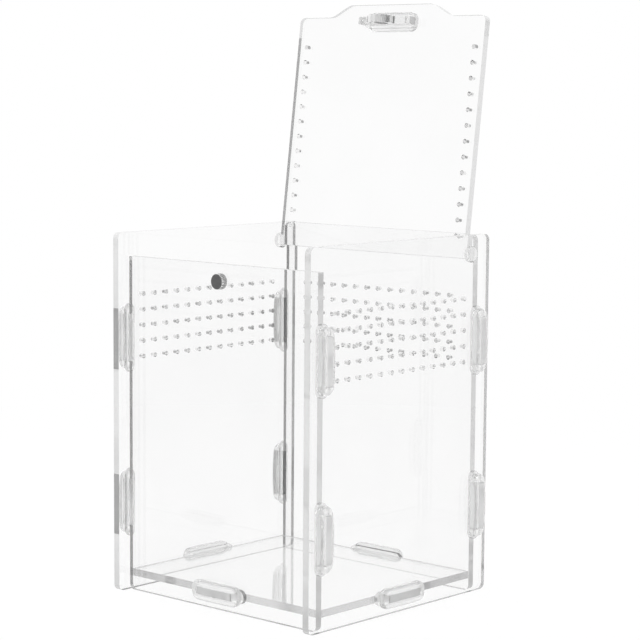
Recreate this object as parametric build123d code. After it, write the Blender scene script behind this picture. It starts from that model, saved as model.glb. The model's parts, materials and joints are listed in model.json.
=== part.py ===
from build123d import *
import math
import os

# Stock sheet and the fits between pieces
sheet = 3.0              # thickness of every flat panel
sheet_gap = 0.1          # air between a panel's edge and the face it meets
corner_radius = 2.5      # rounded outer corners of the panels, but the front panel's top is square

# The box
inner_width = 100.0      # between the two side walls
wall_length = 106.0      # side wall, front end to rear end
wall_height = 144.5      # side walls and rear panel
front_drop = 9.5         # top of the walls to the front panel's top
front_overhang = 5.8     # side wall's front end to the front panel's outer face
rear_overhang = 5.3      # side wall's rear end to the rear panel's outer face
floor_lift = 5.2         # ground to the floor panel's underside

# Moulded clips that hold the panels' tongues in the walls' slots
slot_length = 27.8       # slot in a wall, end to end
clip_play = 0.1          # clearance of a clip in its slot and round its tongue
clip_wall = 1.0          # clip's wall beside the tongue, inside the slot
clip_lip = 1.2           # how far the lobe covers the wall beside the slot
clip_shortness = 1.2     # slot's end to the lobe's end
clip_end_wall = 3.1      # lobe's end to the tongue
clip_reach = 3.0         # how far the lobe's crown stands off the outside of the box
clip_end_reach = 2.1     # the same at the lobe's two ends, where its crown comes down
clip_corner = 3.2        # rounded corners of the lobe, seen from outside
clip_round = 1.1         # rounded outer rim of the lobe
tongue_proud = 0.4       # tongue's end beyond the lobe
floor_tongue_short = 0.4 # end of the floor's tongues inside the lobe
tongue_round = 0.8       # eased corners of the tongue's end
upper_clip_drop = 42.3   # top of the walls to the middle of the upper corner clips
lower_clip_height = 35.4

# Vent holes
vent_diameter = 1.9
vent_pitch = 6.3
vent_margin = 6.2        # least distance from a hole's centre to the inside corner
vent_rows = 5
vent_drop = 25.1         # top of the walls to the top row
lid_vent_inset = 4.7     # lid's side edge to each column of holes
lid_vent_start = 6.9     # hinge axis to the first hole
lid_vent_end = 12.0      # least distance from the last hole to the lid's front edge

# Lid and hinge
lid_front_gap = 0.3      # closed lid above the front panel
lid_side_gap = 0.25      # lid's side edge to the side wall
lid_swing_gap = 0.34     # swinging rear edge to the rear panel
lid_stop_gap = 0.1       # open lid to the rear panel's top edge
lid_rear_round = 0.6     # eased rear edge of the lid
ear_rear = 2.0           # hinge axis to the lid's rear edge
ear_front = 2.4          # hinge axis to the ear's front edge
ear_play = 0.37          # turning ear to the round hole that carries it
ear_inset = 0.1          # ear's end below the side wall's outer face
grip_reach = 5.0         # grip tongue beyond the lid's front edge
grip_tip = 44.6          # width of the grip tongue at its tip
grip_root = 63.2         # width of the grip tongue at its root
grip_round = 8.0

# Catch
catch_clearance = 2.3    # closed catch tab to the front panel
catch_rim = 2.4          # lid magnet's hole to the catch tab's round end
shoulder_margin = 0.1    # lid's slot, end to the end of the catch tab's shoulder
shoulder_height = 3.4
shoulder_round = 1.4     # between the shoulder and the round end's sides
magnet_diameter = 6.0
magnet_length = 3.0
magnet_round = 0.25
magnet_play = 0.05
front_magnet_drop = 6.8  # front panel's top edge to its magnet's centre
front_magnet_proud = 1.2
lid_magnet_drop = 5.2    # lid's underside to the lid magnet's centre

# Sizes of the clips that follow from the sheet they hold
pocket_thickness = sheet + 2 * clip_play
shank_thickness = pocket_thickness + 2 * clip_wall
slot_width = shank_thickness + 2 * clip_play
clip_thickness = slot_width + 2 * clip_lip
clip_length = slot_length - 2 * clip_shortness
tongue_width = clip_length - 2 * clip_end_wall
shoulder_width = slot_length - 2 * shoulder_margin

# Places of the box's pieces
half_width = inner_width / 2
wall_middle = half_width + sheet / 2
front_end = -wall_length / 2
rear_end = wall_length / 2
front_outer = front_end + front_overhang
front_inner = front_outer + sheet
front_middle = front_outer + sheet / 2
rear_outer = rear_end - rear_overhang
rear_inner = rear_outer - sheet
rear_middle = rear_outer - sheet / 2
front_height = wall_height - front_drop
floor_middle = floor_lift + sheet / 2
clip_heights = {"upper": wall_height - upper_clip_drop, "lower": lower_clip_height}

# Places of the lid's pieces
swing_radius = math.hypot(ear_rear - lid_rear_round, sheet / 2 - lid_rear_round) + lid_rear_round
hinge_setback = swing_radius + lid_swing_gap
hinge_y = rear_inner - hinge_setback
hinge_height = front_height + lid_front_gap + sheet / 2
hinge_hole_radius = math.hypot(max(ear_rear, ear_front), sheet / 2) + ear_play
lid_under = hinge_height - sheet / 2
lid_top = hinge_height + sheet / 2
lid_half = half_width - lid_side_gap
ear_end = half_width + sheet - ear_inset
catch_y = front_outer - catch_clearance - sheet / 2
magnet_hole_radius = magnet_diameter / 2 + magnet_play


def side_plane(x):
    """Plane of a side wall: drawn as depth across and height up, thickened to the right."""
    return Plane(origin=(x, 0, 0), x_dir=(0, 1, 0), z_dir=(1, 0, 0))


def cross_plane(y):
    """Plane of the front or rear panel: drawn as width across and height up, thickened to the front."""
    return Plane(origin=(0, y, 0), x_dir=(1, 0, 0), z_dir=(0, -1, 0))


def rounded_rectangle(left, right, bottom, top):
    middle = Pos((left + right) / 2, (bottom + top) / 2)
    return middle * RectangleRounded(right - left, top - bottom, corner_radius)


def slot(x, y, turn=0):
    """A slot with round ends, lying across the drawing, or standing when turned."""
    return Pos(x, y) * Rot(0, 0, turn) * SlotOverall(slot_length, slot_width)


def vents(columns, rows, top_y, middle_x=0):
    """Vent holes in a grid whose top row is at top_y."""
    middle = Pos(middle_x, top_y - (rows - 1) * vent_pitch / 2)
    spots = GridLocations(vent_pitch, vent_pitch, columns, rows)
    return [middle * spot * Circle(vent_diameter / 2) for spot in spots]


def wall_vents(half_span):
    """The rows of vent holes in a panel, as many to each side of the middle as the span takes."""
    columns = 2 * math.floor((half_span - vent_margin) / vent_pitch) + 1
    return vents(columns, vent_rows, wall_height - vent_drop)


def add_tongue(outline, x, y, turn=0, proud=tongue_proud):
    """Adds a clip's tongue to the edge at (x, y), which looks along +X before the turn.

    The tongue passes a sheet's slot and the clip in it, and ends proud of the lobe, or inside it.
    """
    reach = sheet_gap + sheet + clip_reach + proud
    tongue = Pos((reach - sheet) / 2, 0) * RectangleRounded(sheet + reach, tongue_width, tongue_round)
    return outline + Pos(x, y) * Rot(0, 0, turn) * tongue


def make_wall(x):
    """A side wall whose left face is at x."""
    outline = rounded_rectangle(front_end, rear_end, 0, wall_height)
    for height in clip_heights.values():
        outline -= [slot(front_middle, height, 90), slot(rear_middle, height, 90)]
    outline -= slot(0, floor_middle)
    outline -= Pos(hinge_y, hinge_height) * Circle(hinge_hole_radius)
    outline -= wall_vents(min(-front_inner, rear_inner))
    return extrude(side_plane(x) * outline, sheet)


def cross_outline(height):
    """Front or rear panel without its holes: four tongues in its sides, a slot at floor level."""
    edge = half_width - sheet_gap
    outline = rounded_rectangle(-edge, edge, 0, height)
    for clip_height in clip_heights.values():
        outline = add_tongue(outline, edge, clip_height)
        outline = add_tongue(outline, -edge, clip_height, 180)
    return outline - slot(0, floor_middle)


def make_front_panel():
    """The front panel, whose top corners are square under the lid."""
    top_band = Rectangle(inner_width - 2 * sheet_gap, 2 * corner_radius)
    outline = cross_outline(front_height) + Pos(0, front_height - corner_radius) * top_band
    outline -= Pos(0, front_height - front_magnet_drop) * Circle(magnet_hole_radius)
    return extrude(cross_plane(front_inner) * outline, sheet)


def make_rear_panel():
    outline = cross_outline(wall_height) - wall_vents(half_width)
    return extrude(cross_plane(rear_outer) * outline, sheet)


def make_floor_panel():
    side = half_width - sheet_gap
    front = front_inner + sheet_gap
    rear = rear_inner - sheet_gap
    outline = Pos(0, (front + rear) / 2) * Rectangle(2 * side, rear - front)
    outline = add_tongue(outline, side, 0, 0, -floor_tongue_short)
    outline = add_tongue(outline, -side, 0, 180, -floor_tongue_short)
    outline = add_tongue(outline, 0, front, -90, -floor_tongue_short)
    outline = add_tongue(outline, 0, rear, 90, -floor_tongue_short)
    return extrude(Plane.XY.offset(floor_lift) * outline, sheet)


def make_lobe():
    """A clip's lobe standing on its base: a long block with a crowned outer face and a rounded rim."""
    half_length = clip_length / 2
    end_height = clip_end_reach - clip_play
    sides = Polyline((half_length, end_height), (half_length, 0), (-half_length, 0), (-half_length, end_height))
    crown = ThreePointArc((-half_length, end_height), (0, clip_reach - clip_play), (half_length, end_height))
    profile = make_face([*sides.edges(), crown])
    outline = RectangleRounded(clip_length, clip_thickness, clip_corner)
    block = extrude(outline, clip_reach) & extrude(Plane.XZ * profile, clip_thickness, both=True)
    return fillet(block.faces().sort_by(Axis.Z)[-1].edges(), clip_round)


def make_clip(place):
    """A moulded clip on the plane of its sheet: a shank that fills the slot, a lobe outside, and a pocket.

    The plane's X runs along the slot, its Z points out of the box, and its origin is mid-sheet.
    """
    face = sheet / 2
    shank = SlotOverall(slot_length - 2 * clip_play, shank_thickness)
    neck = SlotOverall(clip_length - clip_thickness + shank_thickness, shank_thickness)
    body = extrude(Pos(0, 0, -face) * shank, sheet)
    body += extrude(neck, face + clip_play)
    body += Pos(0, 0, face + clip_play) * make_lobe()
    pocket = Box(tongue_width + 2 * clip_play, pocket_thickness, 4 * (face + clip_reach))
    return place * (body - pocket)


def make_magnet(place):
    """A disc with eased rims, centred on the plane's origin and lying in the plane."""
    disc = Cylinder(magnet_diameter / 2, magnet_length)
    return place * fillet(disc.edges().filter_by(GeomType.CIRCLE), magnet_round)


def lid_outline():
    """The closed lid seen from above: a grip tongue in front, a hinge ear at each rear corner."""
    rear = hinge_y + ear_rear
    body = Pos(0, (front_end + rear) / 2) * Rectangle(2 * lid_half, rear - front_end)
    body = fillet(body.vertices().group_by(Axis.Y)[0], corner_radius)
    root = front_end + corner_radius
    tip = front_end - grip_reach
    left_half = [(-grip_root / 2, root), (-grip_root / 2, front_end), (-grip_tip / 2, tip)]
    right_half = [(-x, y) for x, y in reversed(left_half)]
    outline = body + Polygon(*left_half, *right_half, align=None)
    bends = [corner for corner in outline.vertices() if abs(abs(corner.X) - grip_root / 2) < sheet_gap]
    bends += outline.vertices().group_by(Axis.Y)[0]
    outline = fillet(bends, grip_round)
    ears = Pos(0, hinge_y + (ear_rear - ear_front) / 2) * Rectangle(2 * ear_end, ear_front + ear_rear)
    return outline + ears


def make_lid_panel():
    """The closed lid, its vent holes in one column along each side."""
    vent_span = hinge_y - lid_vent_start - lid_vent_end - front_end
    holes_along = math.floor(vent_span / vent_pitch) + 1
    outline = lid_outline() - slot(0, catch_y)
    for side in (-1, 1):
        outline -= vents(1, holes_along, hinge_y - lid_vent_start, side * (lid_half - lid_vent_inset))
    panel = extrude(Plane.XY.offset(lid_under) * outline, sheet)
    rear_face = panel.faces().filter_by(Axis.Y).sort_by(Axis.Y)[-1]
    return fillet(rear_face.edges().filter_by(Axis.X), lid_rear_round)


def make_catch_tab():
    """The plate that hangs from the closed lid in front of the front panel.

    Its tongue goes up through the lid's clip, a shoulder meets the lid, and a round end holds the magnet.
    """
    magnet_height = lid_under - lid_magnet_drop
    end_radius = magnet_hole_radius + catch_rim
    top = lid_under - sheet_gap
    bottom = top - shoulder_height
    plate = Pos(0, (top + bottom) / 2) * Rectangle(shoulder_width, shoulder_height)
    plate += Pos(0, (top + magnet_height) / 2) * Rectangle(2 * end_radius, top - magnet_height)
    corners = [corner for corner in plate.vertices()
               if abs(corner.Y - bottom) < sheet_gap and abs(corner.X) < shoulder_width / 2 - sheet_gap]
    plate = fillet(corners, min(shoulder_round, (bottom - magnet_height) * 0.9))
    plate += Pos(0, magnet_height) * Circle(end_radius)
    plate = add_tongue(plate, 0, top, 90) - Pos(0, magnet_height) * Circle(magnet_hole_radius)
    return extrude(cross_plane(catch_y + sheet / 2) * plate, sheet)


def opening_angle():
    """From closed to resting open, where the lid's top face leans on the rear panel's top inner edge."""
    across = hinge_setback - lid_stop_gap
    rise = wall_height - hinge_height
    lean = math.acos(sheet / 2 / math.hypot(across, rise)) - math.atan2(rise, across)
    return 90 + math.degrees(lean)


def tank_pieces():
    pieces = {
        "left_wall": make_wall(-half_width - sheet),
        "right_wall": make_wall(half_width),
        "front_panel": make_front_panel(),
        "rear_panel": make_rear_panel(),
        "floor_panel": make_floor_panel(),
        "front_magnet": make_magnet(cross_plane(front_middle - front_magnet_proud)
                                    * Pos(0, front_height - front_magnet_drop)),
    }
    for side_name, side in (("left", -1), ("right", 1)):
        for end_name, y in (("front", front_middle), ("rear", rear_middle)):
            for level, height in clip_heights.items():
                place = Plane(origin=(side * wall_middle, y, height), x_dir=(0, 0, 1), z_dir=(side, 0, 0))
                pieces[f"clip_{end_name}_{side_name}_{level}"] = make_clip(place)
        place = Plane(origin=(side * wall_middle, 0, floor_middle), x_dir=(0, 1, 0), z_dir=(side, 0, 0))
        pieces[f"clip_floor_{side_name}"] = make_clip(place)
    for end_name, y, outward in (("front", front_middle, -1), ("rear", rear_middle, 1)):
        place = Plane(origin=(0, y, floor_middle), x_dir=(1, 0, 0), z_dir=(0, outward, 0))
        pieces[f"clip_floor_{end_name}"] = make_clip(place)
    return pieces


def lid_pieces():
    """The lid and what it carries, swung from closed to its open rest."""
    closed = {
        "lid_panel": make_lid_panel(),
        "lid_clip": make_clip(Plane(origin=(0, catch_y, hinge_height))),
        "catch_tab": make_catch_tab(),
        "lid_magnet": make_magnet(cross_plane(catch_y) * Pos(0, lid_under - lid_magnet_drop)),
    }
    hinge = Axis((0, hinge_y, hinge_height), (1, 0, 0))
    return {name: piece.rotate(hinge, -opening_angle()) for name, piece in closed.items()}


pieces = {**tank_pieces(), **lid_pieces()}

# The origin is on the ground under the middle of everything, the open lid included
whole = Compound(list(pieces.values())).bounding_box()
middle_y = (whole.min.Y + whole.max.Y) / 2
os.makedirs("parts", exist_ok=True)
for name, piece in pieces.items():
    export_step(Pos(0, -middle_y, 0) * piece, f"parts/{name}.step")

print("whole part", whole.size)
print("walls' middle, y", -middle_y)
print("opening angle", opening_angle())
print("hinge axis, y and z", hinge_y - middle_y, hinge_height)
print("chamber, y", front_inner - middle_y, "to", rear_inner - middle_y, "above", floor_lift + sheet)
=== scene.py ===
import json
import math
import bpy
from mathutils import Matrix, Vector


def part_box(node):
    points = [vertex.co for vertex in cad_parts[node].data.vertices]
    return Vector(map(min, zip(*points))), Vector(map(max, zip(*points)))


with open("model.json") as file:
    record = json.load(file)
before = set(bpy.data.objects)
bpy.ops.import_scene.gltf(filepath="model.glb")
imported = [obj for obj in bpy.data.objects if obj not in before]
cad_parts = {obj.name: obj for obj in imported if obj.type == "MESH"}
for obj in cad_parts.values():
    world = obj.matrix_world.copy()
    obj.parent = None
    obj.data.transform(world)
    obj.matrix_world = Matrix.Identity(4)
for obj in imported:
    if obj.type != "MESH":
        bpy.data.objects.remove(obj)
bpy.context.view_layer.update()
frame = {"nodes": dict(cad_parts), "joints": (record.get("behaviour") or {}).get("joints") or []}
mm = 0.001
print("frame loaded,", len(frame["nodes"]), "nodes")


# small helpers for building node trees

def add(tree, kind, **settings):
    node = tree.nodes.new(kind)
    for name, value in settings.items():
        setattr(node, name, value)
    return node


def feed(tree, socket, value):
    # a number or colour is set on the socket, another socket is wired to it
    if isinstance(value, bpy.types.NodeSocket):
        tree.links.new(value, socket)
    elif isinstance(value, tuple) and len(value) == 3 and socket.type == "RGBA":
        socket.default_value = value + (1,)
    else:
        socket.default_value = value


def work(tree, operation, *values):
    node = add(tree, "ShaderNodeMath", operation=operation)
    for socket, value in zip(node.inputs, values):
        feed(tree, socket, value)
    return node.outputs[0]


def workVector(tree, operation, *values):
    node = add(tree, "ShaderNodeVectorMath", operation=operation)
    for socket, value in zip(node.inputs, values):
        feed(tree, socket, value)
    return node.outputs["Value"] if operation == "DOT_PRODUCT" else node.outputs["Vector"]


def rescale(tree, value, low, high, newLow, newHigh):
    node = add(tree, "ShaderNodeMapRange", interpolation_type="SMOOTHSTEP")
    for socket, entry in zip(node.inputs, (value, low, high, newLow, newHigh)):
        feed(tree, socket, entry)
    return node.outputs[0]


def noise(tree, vector, scale, detail):
    node = add(tree, "ShaderNodeTexNoise")
    feed(tree, node.inputs["Vector"], vector)
    feed(tree, node.inputs["Scale"], scale)
    feed(tree, node.inputs["Detail"], detail)
    return node.outputs["Fac"]


def grey(tree, value):
    node = add(tree, "ShaderNodeCombineColor")
    for socket in node.inputs:
        feed(tree, socket, value)
    return node.outputs[0]


def mixed(tree, share, first, second):
    mix = add(tree, "ShaderNodeMixShader")
    for socket, value in zip(mix.inputs, (share, first, second)):
        feed(tree, socket, value)
    return mix.outputs[0]


def blended(tree, share, first, second):
    return work(tree, "ADD", first, work(tree, "MULTIPLY", share, work(tree, "SUBTRACT", second, first)))


def matt(tree, shade):
    node = add(tree, "ShaderNodeBsdfDiffuse")
    varies = isinstance(shade, bpy.types.NodeSocket)
    feed(tree, node.inputs["Color"], grey(tree, shade) if varies else (shade,) * 3)
    return node.outputs[0]


def facingAlong(tree, axis):
    # 1 where a surface faces along the axis, 0 where it stands square to it
    normal = add(tree, "ShaderNodeTexCoord").outputs["Normal"]
    return work(tree, "ABSOLUTE", workVector(tree, "DOT_PRODUCT", normal, axis))


def newMaterial(name):
    material = bpy.data.materials.new(name)
    material.use_nodes = True
    material.node_tree.nodes.clear()
    return material, material.node_tree


def newGroup(name, inputs, outputs):
    group = bpy.data.node_groups.new(name, "ShaderNodeTree")
    for label, kind in inputs:
        group.interface.new_socket(name=label, in_out="INPUT", socket_type=kind)
    for label, kind in outputs:
        group.interface.new_socket(name=label, in_out="OUTPUT", socket_type=kind)
    return group, add(group, "NodeGroupInput"), add(group, "NodeGroupOutput")


def place(tree, group, **values):
    node = add(tree, "ShaderNodeGroup", node_tree=group)
    for label, value in values.items():
        feed(tree, node.inputs[label], value)
    return node


number, vector = "NodeSocketFloat", "NodeSocketVector"
noiseLow, noiseHigh = 0.3, 0.7    # most of a noise lies between these


# camera

cameraSet = {
    "azimuth": 42.004,     # degrees to the right of straight on
    "elevation": 6.42,
    "roll": 0.414,
    "lens": 119.94,        # millimetres, and so is the sensor's width
    "sensor": 36,
    "nearest": 0.01,       # metres in front of the camera
    "distance": 852.64 * mm,
    "aside": 7.38 * mm,    # aim point to the right of the tank's middle
    "height": 109.76 * mm,
}


def makeCamera(values):
    turn, rise, roll = (math.radians(values[name]) for name in ("azimuth", "elevation", "roll"))
    right = Vector((math.cos(turn), math.sin(turn), 0))
    back = Vector((math.sin(turn) * math.cos(rise), -math.cos(turn) * math.cos(rise), math.sin(rise)))
    up = back.cross(right)
    wallLow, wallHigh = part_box("left_wall")
    aim = Vector((0, (wallLow[1] + wallHigh[1]) / 2, values["height"])) + right * values["aside"]
    across = right * math.cos(roll) + up * math.sin(roll)
    over = up * math.cos(roll) - right * math.sin(roll)
    data = bpy.data.cameras.new("camera")
    data.sensor_width = values["sensor"]
    data.lens = values["lens"]
    data.clip_start = values["nearest"]
    camera = bpy.data.objects.new("camera", data)
    camera.matrix_world = Matrix((across, over, back)).transposed().to_4x4()
    camera.matrix_world.translation = aim + back * values["distance"]
    bpy.context.scene.collection.objects.link(camera)
    bpy.context.scene.camera = camera


makeCamera(cameraSet)
print("camera placed")


# floor, backdrop and lamps

stageSet = {
    "skyFill": 0.8,        # the world as a lamp, 1 is white
    "floorColour": 0.8,
    "shadowShare": 0.16,   # how much of the floor's white comes from the lamps and so shows shadow
    "shadowReach": 0.22,   # metres from the middle to where the lit floor starts to fade to white
    "shadowFade": 0.5,
    "floorHalf": 4.0,
    "floorDrop": 0.1 * mm,     # the object stands a hair above it
    "grainScale": 30,
    "grainLeast": 0.985,
}


def seesBackdrop(tree):
    path = add(tree, "ShaderNodeLightPath")
    seen = work(tree, "MAXIMUM", path.outputs["Is Camera Ray"], path.outputs["Is Glossy Ray"])
    return work(tree, "MAXIMUM", seen, path.outputs["Is Transmission Ray"])


def makeWorld(values):
    world = bpy.data.worlds.new("studio")
    bpy.context.scene.world = world
    world.use_nodes = True
    tree = world.node_tree
    tree.nodes.clear()
    fill = add(tree, "ShaderNodeBackground")
    feed(tree, fill.inputs["Color"], (1, 1, 1))
    feed(tree, fill.inputs["Strength"], values["skyFill"])
    white = add(tree, "ShaderNodeBackground")
    feed(tree, white.inputs["Color"], (1, 1, 1))
    out = add(tree, "ShaderNodeOutputWorld")
    feed(tree, out.inputs["Surface"], mixed(tree, seesBackdrop(tree), fill.outputs[0], white.outputs[0]))


def floorMaterial(values):
    material, tree = newMaterial("paleFloor")
    spot = add(tree, "ShaderNodeTexCoord").outputs["Object"]
    away = add(tree, "ShaderNodeVectorMath", operation="LENGTH")
    feed(tree, away.inputs[0], spot)
    lit = rescale(tree, away.outputs["Value"], values["shadowReach"], values["shadowFade"],
                  values["shadowShare"], 0.0)
    seen = seesBackdrop(tree)
    grain = rescale(tree, noise(tree, spot, values["grainScale"], 3), noiseLow, noiseHigh,
                    values["grainLeast"], 1.0)
    shade = work(tree, "MULTIPLY", grain, values["floorColour"])
    cover = work(tree, "ADD", work(tree, "MULTIPLY", seen, lit),
                 work(tree, "MULTIPLY", work(tree, "SUBTRACT", 1.0, seen), shade))
    glow = add(tree, "ShaderNodeEmission")
    feed(tree, glow.inputs["Strength"], work(tree, "MULTIPLY", seen, work(tree, "SUBTRACT", 1.0, lit)))
    both = add(tree, "ShaderNodeAddShader")
    feed(tree, both.inputs[0], matt(tree, cover))
    feed(tree, both.inputs[1], glow.outputs[0])
    out = add(tree, "ShaderNodeOutputMaterial")
    feed(tree, out.inputs["Surface"], both.outputs[0])
    return material


def makeFloor(values):
    half = values["floorHalf"]
    mesh = bpy.data.meshes.new("floor")
    corners = [(-half, -half, 0), (half, -half, 0), (half, half, 0), (-half, half, 0)]
    mesh.from_pydata(corners, [], [(0, 1, 2, 3)])
    mesh.materials.append(floorMaterial(values))
    floor = bpy.data.objects.new("floor", mesh)
    floor.location.z = -values["floorDrop"]
    bpy.context.scene.collection.objects.link(floor)


lampAim = (0, 0, 0.1)    # about the middle of the tank
lampSet = {
    "overhead": {"place": (0.15, -0.1, 1.4), "size": 1.4, "power": 5},
    "side": {"place": (-1.1, -0.7, 0.8), "size": 1.0, "power": 4},
}


def makeLamp(name, values):
    data = bpy.data.lights.new(name, "AREA")
    data.shape = "SQUARE"
    data.size = values["size"]
    data.energy = values["power"]
    lamp = bpy.data.objects.new(name, data)
    lamp.location = values["place"]
    aim = Vector(lampAim) - lamp.location
    lamp.rotation_euler = aim.to_track_quat("-Z", "Y").to_euler()
    lamp.visible_camera = False
    lamp.visible_glossy = False
    lamp.visible_transmission = False
    bpy.context.scene.collection.objects.link(lamp)


makeWorld(stageSet)
makeFloor(stageSet)
for lampName, values in lampSet.items():
    makeLamp(lampName, values)
print("stage and lamps ready")


# shared surface effects

cutEdgeSet = {
    "cutBelow": 0.55,      # a surface that faces along the sheet's axis less than this is a cut edge
    "faceAbove": 0.85,     # and more than this a polished face
    "stretch": 0.93,       # how far the lines are drawn out through the thickness, 1 is without end
}

hazeSet = {
    "speckScale": 1500,
    "speckFrom": 0.72,     # the noise level at which a speck begins
    "speckFull": 0.8,
}


def cutMask(tree, axis):
    # 1 on a sheet's sawn and drilled edges, 0 on its polished faces
    facing = facingAlong(tree, axis)
    return rescale(tree, facing, cutEdgeSet["cutBelow"], cutEdgeSet["faceAbove"], 1.0, 0.0)


def cutEdgeGroup():
    # the cutter's fine lines, on the cut edges alone
    group, given, result = newGroup("cutEdge", [("Axis", vector), ("Line Width", number)],
                                    [("Cut", number), ("Height", number)])
    cut = cutMask(group, given.outputs["Axis"])
    where = add(group, "ShaderNodeTexCoord")
    depth = workVector(group, "DOT_PRODUCT", where.outputs["Object"], given.outputs["Axis"])
    along = add(group, "ShaderNodeVectorMath", operation="SCALE")
    feed(group, along.inputs[0], given.outputs["Axis"])
    feed(group, along.inputs["Scale"], work(group, "MULTIPLY", depth, cutEdgeSet["stretch"]))
    flat = workVector(group, "SUBTRACT", where.outputs["Object"], along.outputs["Vector"])
    lines = noise(group, flat, work(group, "DIVIDE", 1.0, given.outputs["Line Width"]), 2)
    feed(group, result.inputs["Cut"], cut)
    feed(group, result.inputs["Height"], work(group, "MULTIPLY", lines, cut))
    return group


def hazeGroup():
    # soft patches and fine specks, such as handling and dust leave on clear plastic
    group, given, result = newGroup("haze", [("Patch", number), ("Least", number), ("Most", number)],
                                    [("Shade", number), ("Speck", number)])
    where = add(group, "ShaderNodeTexCoord").outputs["Object"]
    patches = noise(group, where, work(group, "DIVIDE", 1.0, given.outputs["Patch"]), 3)
    shade = rescale(group, patches, noiseLow, noiseHigh, given.outputs["Least"], given.outputs["Most"])
    specks = rescale(group, noise(group, where, hazeSet["speckScale"], 1), hazeSet["speckFrom"],
                     hazeSet["speckFull"], 0.0, 1.0)
    feed(group, result.inputs["Shade"], shade)
    feed(group, result.inputs["Speck"], specks)
    return group


cutEdge = cutEdgeGroup()
haze = hazeGroup()
print("surface effects built")


# clear acrylic sheet

def cutFinish(shade, paintedReflectionShare, frost):
    # the light a cut passes, the share of painted dark reflection (a near-black matt put where
    # it would mirror a ray from inside), and the share of its outer side that is milky
    return {"shade": shade, "paintedReflectionShare": paintedReflectionShare, "frost": frost}


sheetSet = {
    "ior": 1.49,
    "faceLeast": 0.968,    # how much light a sheet passes, at its haziest and its clearest
    "faceMost": 0.982,
    "patch": 0.035,        # metres across a patch of haze
    "speckShade": 0.02,    # how much darker a speck is
    "rim": cutFinish(0.95, 0.4, 0.6),
    "inner": cutFinish(0.85, 0.2, 0.0),
    "slot": cutFinish(0.8, 0.2, 0.0),
    "hole": cutFinish(0.96, 0.04, 0.0),
    # where each kind of cut lies, in millimetres inside the sheet's outline, and how much further
    # above its foot, below its top and behind its front
    "zones": {"inner": (1.5, 0, 0, 0), "slot": (1.5, 20, 20, 0), "hole": (12, 0, 0, 0)},
    "paintedHoleReflection": 0.65,      # the share of painted dark reflection on one side of a hole
    "paintedHoleReflectionLeast": 0.25, # how much of that is left on the faintest holes
    "paintedHoleReflectionSpacing": 6 * mm,
    "paintedHoleReflectionLevels": (0.35, 0.6),    # noise levels of the faintest and the darkest holes
    "paintedHoleReflectionSide": (0.7, 0.95),      # how far a surface faces that side, at none and all of the painted reflection
    # shade of the painted dark reflection, the near-black matt in place of an inside mirror
    "paintedReflectionShade": 0.03,
    "frostShade": 0.84,
    "slotEnd": 1.6 * mm,   # how far a clip reaches past the end of its slot
    "cutRoughness": 0.16,
    "cutLine": 0.4 * mm,
    "cutDepth": 0.002 * mm,
    "absorption": 1.6,     # per metre of light's way inside
}

frontCut, rearCut = cutFinish(0.85, 0.65, 0.6), cutFinish(0.85, 0.75, 0.6)
sheetChanges = {
    "left_wall": {
        "rim": cutFinish(0.95, 0.7, 0.85),
        # painted shade: the left wall's slots pass less light than the other sheets' slots
        "slot": cutFinish(0.5, 0.3, 0.0),
        "paintedSlotShadow": 0.4,       # painted shadow in the milky share on the front end, where a slot behind it blocks the light
        "paintedSlotShadowReach": 5 * mm,    # from a clip to past the front end
    },
    "right_wall": {"paintedHoleReflection": 0.3},
    "front_panel": {"inner": frontCut, "slot": frontCut},
    "rear_panel": {
        "inner": rearCut,
        "slot": rearCut,
        "paintedSlotGapShade": 0.015,        # painted shade on the left tongues where they pass through the left wall
        "rootEnd": -49.7 * mm,     # just inside the chamber
    },
    "floor_panel": {"rim": cutFinish(0.6, 0.4, 0.4), "inner": cutFinish(0.9, 0.15, 0.2)},
    "lid_panel": {
        "rim": cutFinish(0.95, 0.25, 0.75),
        "inner": cutFinish(0.97, 0.6, 0.92),
        "frostShade": 0.93,
        "zones": {"inner": (1.5, 0, 12, 0), "hole": (6, 0, 12, 0)},
    },
}


def passesLamps(tree):
    path = add(tree, "ShaderNodeLightPath")
    return work(tree, "MAXIMUM", path.outputs["Is Shadow Ray"], path.outputs["Is Diffuse Ray"])


def mirrorsInside(tree, ior):
    # 1 where a ray inside the plastic meets a surface too flat to leave
    fresnel = add(tree, "ShaderNodeFresnel")
    feed(tree, fresnel.inputs["IOR"], ior)
    inside = add(tree, "ShaderNodeNewGeometry").outputs["Backfacing"]
    return work(tree, "MULTIPLY", inside, fresnel.outputs[0])


def insideMask(tree, low, high):
    # 1 inside a box of the piece's own coordinates, 0 outside
    spot = add(tree, "ShaderNodeTexCoord").outputs["Object"]
    offset = workVector(tree, "ABSOLUTE", workVector(tree, "SUBTRACT", spot, tuple((low + high) / 2)))
    past = add(tree, "ShaderNodeSeparateXYZ")
    feed(tree, past.inputs[0], workVector(tree, "SUBTRACT", offset, tuple((high - low) / 2)))
    most = work(tree, "MAXIMUM", work(tree, "MAXIMUM", past.outputs[0], past.outputs[1]), past.outputs[2])
    return work(tree, "LESS_THAN", most, 0.0)


def cornersOf(node):
    return [Vector(corner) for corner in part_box(node)]


def insetBox(node, inset, footInset, topInset, frontInset):
    # the sheet's box without a strip along its outline, and a little thicker than the sheet
    low, high = cornersOf(node)
    thin = min(range(3), key=lambda i: high[i] - low[i])
    for i in range(3):
        strip = (-inset if i == thin else inset) * mm
        low[i] += strip
        high[i] -= strip
    low[1] += frontInset * mm
    low[2] += footInset * mm
    high[2] -= topInset * mm
    return low, high


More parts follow.
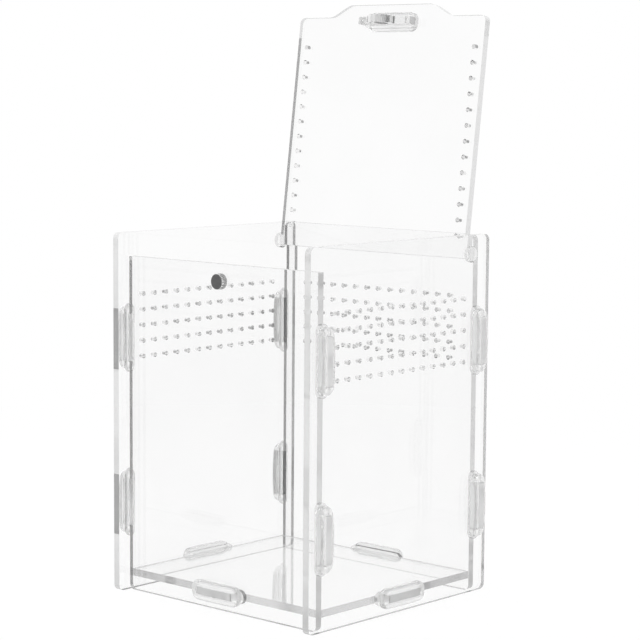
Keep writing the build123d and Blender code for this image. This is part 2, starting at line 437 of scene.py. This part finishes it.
def paintedHoleReflection(tree, axis, values):
    # painted dark reflection on one side of a hole, stronger on some holes than on others
    across = Vector((0, -1, 0)) if axis == wallAxis else Vector((1, 0, 0))
    where = add(tree, "ShaderNodeTexCoord")
    side = workVector(tree, "DOT_PRODUCT", where.outputs["Normal"], tuple(across))
    patches = noise(tree, where.outputs["Object"], 1 / values["paintedHoleReflectionSpacing"], 0)
    strength = rescale(tree, patches, *values["paintedHoleReflectionLevels"], values["paintedHoleReflectionLeast"], 1.0)
    mark = work(tree, "MULTIPLY", rescale(tree, side, *values["paintedHoleReflectionSide"], 0.0, 1.0), strength)
    return work(tree, "MULTIPLY", mark, values["paintedHoleReflection"])


def paintedGapShadeMask(tree, clip, values):
    # where the painted shade goes: a tongue from the chamber's side of its slot outwards
    low, high = cornersOf(clip)
    low.z += values["slotEnd"]
    return insideMask(tree, low, Vector((values["rootEnd"], high.y, high.z - values["slotEnd"])))


def paintedSlotShadowMask(tree, clip, values):
    # where the painted shadow goes: a sheet's front end at the height of the slot behind it
    low, high = cornersOf(clip)
    reach = Vector((values["paintedSlotShadowReach"], values["paintedSlotShadowReach"], -values["slotEnd"]))
    return insideMask(tree, low - reach, high + reach)


def sheetMaterial(node, axis, values):
    material, tree = newMaterial("acrylic_" + node)
    edge = place(tree, cutEdge, Axis=tuple(axis), **{"Line Width": values["cutLine"]})
    film = place(tree, haze, Patch=values["patch"], Least=values["faceLeast"], Most=values["faceMost"])
    specks = work(tree, "MULTIPLY", film.outputs["Speck"], values["speckShade"])
    faceShade = work(tree, "SUBTRACT", film.outputs["Shade"], specks)
    # painted shade on the rear panel's left tongues inside the left wall's slots
    if "paintedSlotGapShade" in values:
        for clip in ("clip_rear_left_lower", "clip_rear_left_upper"):
            faceShade = blended(tree, paintedGapShadeMask(tree, clip, values), faceShade, values["paintedSlotGapShade"])
    # painted shadow on the milky front end where the left wall's slots lie behind it
    milkAndPaintedShadow = values["frostShade"]
    if "paintedSlotShadow" in values:
        for clip in ("clip_front_left_lower", "clip_front_left_upper"):
            milkAndPaintedShadow = blended(tree, paintedSlotShadowMask(tree, clip, values), milkAndPaintedShadow, values["paintedSlotShadow"])

    # each kind of cut takes over from the rim inside its own zone
    cutShade, cutPaintedReflection, cutFrost = values["rim"].values()
    for kind, insets in values["zones"].items():
        within = insideMask(tree, *insetBox(node, *insets))
        shade, paintedReflectionShare, frost = values[kind].values()
        if kind == "hole":
            paintedReflectionShare = work(tree, "MAXIMUM", paintedHoleReflection(tree, axis, values), paintedReflectionShare)
        cutShade = blended(tree, within, cutShade, shade)
        cutPaintedReflection = blended(tree, within, cutPaintedReflection, paintedReflectionShare)
        cutFrost = blended(tree, within, cutFrost, frost)

    bump = add(tree, "ShaderNodeBump")
    feed(tree, bump.inputs["Distance"], values["cutDepth"])
    feed(tree, bump.inputs["Height"], edge.outputs["Height"])
    shade = blended(tree, edge.outputs["Cut"], faceShade, cutShade)
    glass = add(tree, "ShaderNodeBsdfPrincipled")
    feed(tree, glass.inputs["Base Color"], grey(tree, shade))
    roughness = work(tree, "MULTIPLY", edge.outputs["Cut"], values["cutRoughness"])
    feed(tree, glass.inputs["Roughness"], roughness)
    feed(tree, glass.inputs["IOR"], values["ior"])
    feed(tree, glass.inputs["Transmission Weight"], 1.0)
    feed(tree, glass.inputs["Normal"], bump.outputs["Normal"])

    # painted dark reflection: near-black matt on cut edges where they would mirror a ray from inside
    cut = cutMask(tree, tuple(axis))
    mirrors = mirrorsInside(tree, values["ior"])
    darkReflectionShare = work(tree, "MULTIPLY", work(tree, "MULTIPLY", cut, cutPaintedReflection), mirrors)
    withPaintedReflection = mixed(tree, darkReflectionShare, glass.outputs[0], matt(tree, values["paintedReflectionShade"]))
    outside = work(tree, "SUBTRACT", 1.0, add(tree, "ShaderNodeNewGeometry").outputs["Backfacing"])
    milky = work(tree, "MULTIPLY", work(tree, "MULTIPLY", cut, cutFrost), outside)
    finishMaterial(tree, mixed(tree, milky, withPaintedReflection, matt(tree, milkAndPaintedShadow)), values["absorption"])
    return material


lampShare = 0.97    # lamplight that passes one surface of clear plastic


def finishMaterial(tree, surface, density):
    # lamps and soft light pass straight through, so that clear plastic leaves only a faint shadow
    through = add(tree, "ShaderNodeBsdfTransparent")
    feed(tree, through.inputs["Color"], (lampShare,) * 3)
    inside = add(tree, "ShaderNodeVolumeAbsorption")
    feed(tree, inside.inputs["Color"], (0, 0, 0))
    feed(tree, inside.inputs["Density"], density)
    out = add(tree, "ShaderNodeOutputMaterial")
    feed(tree, out.inputs["Surface"], mixed(tree, passesLamps(tree), surface, through.outputs[0]))
    feed(tree, out.inputs["Volume"], inside.outputs[0])


# moulded clips

clipSet = {
    "ior": 1.47,
    "least": 0.965,
    "most": 0.99,
    "patch": 4 * mm,
    "roughness": 0.16,
    "clearShare": 0.8,     # the rest is milky
    "paintedReflectionShare": 0.03,          # share of painted dark reflection, a dark matt where a surface would mirror from inside
    "paintedReflectionShade": 0.05,
    "absorption": 2.0,
}


def clipMaterial(values):
    material, tree = newMaterial("mouldedClip")
    film = place(tree, haze, Patch=values["patch"], Least=values["least"], Most=values["most"])
    body = add(tree, "ShaderNodeBsdfPrincipled")
    feed(tree, body.inputs["Base Color"], grey(tree, film.outputs["Shade"]))
    feed(tree, body.inputs["Roughness"], values["roughness"])
    feed(tree, body.inputs["IOR"], values["ior"])
    feed(tree, body.inputs["Transmission Weight"], values["clearShare"])
    # painted dark reflection where a surface would mirror a ray from inside
    darkReflectionShare = work(tree, "MULTIPLY", mirrorsInside(tree, values["ior"]), values["paintedReflectionShare"])
    withPaintedReflection = mixed(tree, darkReflectionShare, body.outputs[0], matt(tree, values["paintedReflectionShade"]))
    finishMaterial(tree, withPaintedReflection, values["absorption"])
    return material


# plated disc magnets

magnetSet = {
    # painted shade: the flat faces darker than the rim
    "faceShade": 0.125,
    "mottleScale": 900,
    "mottleLeast": 0.92,
    "mottleMost": 1.08,
    "rimBelow": 0.4,       # a surface that faces along the disc's axis less than this is the rim
    "faceAbove": 0.9,
    # painted reflection on the rim: light and dark bands that follow the surface's direction
    "paintedRimReflectionScale": 9,
    "paintedRimReflectionLevels": (0.42, 0.58),    # noise levels of the darkest and the lightest painted reflection bands
    "paintedRimReflectionLeast": 0.3,
    "paintedRimReflectionMost": 0.95,
    "roughness": 0.3,
}


def magnetMaterial(name, axis, values):
    material, tree = newMaterial(name)
    where = add(tree, "ShaderNodeTexCoord")
    facing = facingAlong(tree, tuple(axis))
    rim = rescale(tree, facing, values["rimBelow"], values["faceAbove"], 1.0, 0.0)
    # painted reflection bands on the rim, by the surface's direction
    paintedRimReflection = rescale(tree, noise(tree, where.outputs["Normal"], values["paintedRimReflectionScale"], 2),
                      *values["paintedRimReflectionLevels"], values["paintedRimReflectionLeast"], values["paintedRimReflectionMost"])
    mottle = rescale(tree, noise(tree, where.outputs["Object"], values["mottleScale"], 3),
                     noiseLow, noiseHigh, values["mottleLeast"], values["mottleMost"])
    shade = blended(tree, rim, work(tree, "MULTIPLY", mottle, values["faceShade"]), paintedRimReflection)
    metal = add(tree, "ShaderNodeBsdfPrincipled")
    feed(tree, metal.inputs["Base Color"], grey(tree, shade))
    feed(tree, metal.inputs["Metallic"], 1.0)
    feed(tree, metal.inputs["Roughness"], values["roughness"])
    out = add(tree, "ShaderNodeOutputMaterial")
    feed(tree, out.inputs["Surface"], metal.outputs[0])
    return material


# each carried-over piece gets its finish

lean = math.radians(frame["joints"][0]["range_deg"][1] - 90)   # the open lid past upright
lidAxis = Vector((0, -math.cos(lean), math.sin(lean)))
tabAxis = Vector((0, -math.sin(lean), -math.cos(lean)))
wallAxis, crossAxis, groundAxis = Vector((1, 0, 0)), Vector((0, 1, 0)), Vector((0, 0, 1))

sheetAxes = {
    "left_wall": wallAxis,
    "right_wall": wallAxis,
    "front_panel": crossAxis,
    "rear_panel": crossAxis,
    "floor_panel": groundAxis,
    "lid_panel": lidAxis,
    "catch_tab": tabAxis,
}
finishes = {node: sheetMaterial(node, axis, {**sheetSet, **sheetChanges.get(node, {})})
            for node, axis in sheetAxes.items()}
finishes["front_magnet"] = magnetMaterial("plating_front", crossAxis, magnetSet)
finishes["lid_magnet"] = magnetMaterial("plating_lid", tabAxis, magnetSet)
mouldedClip = clipMaterial(clipSet)

for node, piece in frame["nodes"].items():
    piece.data.materials.clear()
    piece.data.materials.append(finishes.get(node, mouldedClip))
print("finishes given to", len(frame["nodes"]), "pieces")


# light reaches far along the inside of a clear sheet, so rays get many turns

bounces = 48
scene = bpy.context.scene
scene.view_settings.view_transform = "Standard"
scene.cycles.max_bounces = bounces
scene.cycles.transmission_bounces = bounces
scene.cycles.glossy_bounces = bounces
scene.cycles.transparent_max_bounces = bounces
